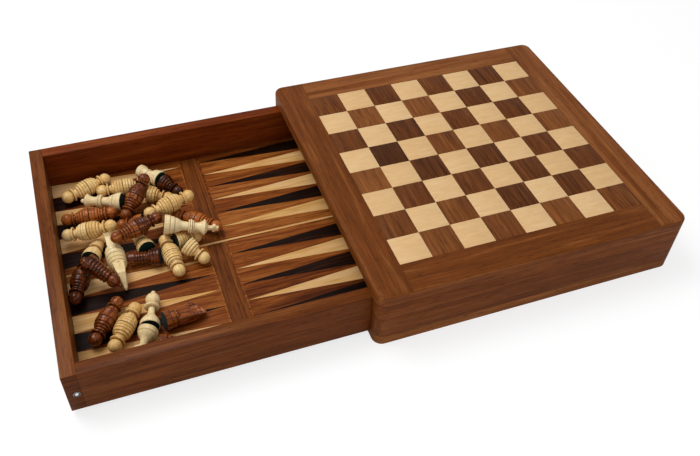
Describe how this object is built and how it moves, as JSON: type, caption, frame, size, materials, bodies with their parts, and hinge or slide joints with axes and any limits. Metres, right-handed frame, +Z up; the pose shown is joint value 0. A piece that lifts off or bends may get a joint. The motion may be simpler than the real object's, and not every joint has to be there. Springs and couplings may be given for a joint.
{
  "type": "board game box",
  "caption": "Wooden board game box with an inlaid chess board on top, a sliding drawer with an inlaid backgammon floor, a ball catch and a heap of turned magnetic chess pieces",
  "frame": {"origin": "centre of the case's underside", "axes": "+X towards the closed end, away from the drawer; +Y to the back; +Z up through the board"},
  "size_m": [0.4633, 0.254, 0.052],
  "materials": {
    "sheesham": "satin waxed hardwood",
    "dark_sheesham": "satin waxed dark hardwood veneer",
    "maple": "satin pale hardwood veneer",
    "boxwood": "turned and polished pale hardwood",
    "rosewood": "turned and polished dark red-brown hardwood",
    "steel": "plain steel",
    "polished_steel": "polished steel"
  },
  "bodies": {
    "case": {"case_back_wall": "sheesham", "case_near_wall": "sheesham", "case_end_wall": "sheesham", "case_bottom": "sheesham", "left_rail": "sheesham", "right_rail": "sheesham", "near_rail": "sheesham", "back_rail": "sheesham", "board_panel": "sheesham", "steel_sheet": "steel", "maple_squares": "maple", "sheesham_squares": "dark_sheesham"},
    "drawer": {"back_cross_strip": "dark_sheesham", "boxwood_bishop_1": "boxwood", "boxwood_bishop_2": "boxwood", "boxwood_king": "boxwood", "boxwood_knight_pair": "boxwood", "boxwood_pawn_1": "boxwood", "boxwood_pawn_2": "boxwood", "boxwood_pawn_3": "boxwood", "boxwood_pawn_4": "boxwood", "boxwood_pawn_5": "boxwood", "boxwood_pawn_pair_1": "boxwood", "boxwood_pawn_pair_2": "boxwood", "boxwood_pawn_pair_3": "boxwood", "boxwood_pawn_pair_4": "boxwood", "boxwood_pawn_pair_5": "boxwood", "boxwood_pawn_pair_6": "boxwood", "boxwood_queen": "boxwood", "boxwood_rook": "boxwood", "catch_cup": "steel", "catch_spring": "steel", "centre_line": "maple", "drawer_back_wall": "sheesham", "drawer_floor": "sheesham", "drawer_left_wall": "sheesham", "drawer_near_wall": "sheesham", "drawer_right_wall": "sheesham", "left_back_ground": "sheesham", "left_dark_points": "dark_sheesham", "left_light_points": "maple", "left_near_ground": "sheesham", "near_cross_strip": "dark_sheesham", "right_back_ground": "sheesham", "right_dark_points": "dark_sheesham", "right_light_points": "maple", "right_near_ground": "sheesham", "rosewood_bishop": "rosewood", "rosewood_king": "rosewood", "rosewood_knight": "rosewood", "rosewood_pawn_1": "rosewood", "rosewood_pawn_2": "rosewood", "rosewood_pawn_pair_1": "rosewood", "rosewood_pawn_pair_2": "rosewood", "rosewood_pawn_pair_3": "rosewood", "rosewood_pawn_pair_4": "rosewood", "rosewood_pawn_pair_5": "rosewood", "rosewood_pawn_pair_6": "rosewood", "rosewood_rook": "rosewood"},
    "catch_ball": {"catch_ball": "polished_steel"}
  },
  "joints": [
    {"name": "drawer_slide", "type": "slide", "parent": "case", "child": "drawer", "axis": [1, 0, 0], "range_m": [-0.02, 0.2093]},
    {"name": "catch_ball_press", "type": "slide", "parent": "drawer", "child": "catch_ball", "axis": [0, 1, 0], "range_m": [0, 0.0006], "stiffness_N_per_m": 800, "springref_m": -0.0005, "deforming": ["catch_spring"]}
  ]
}
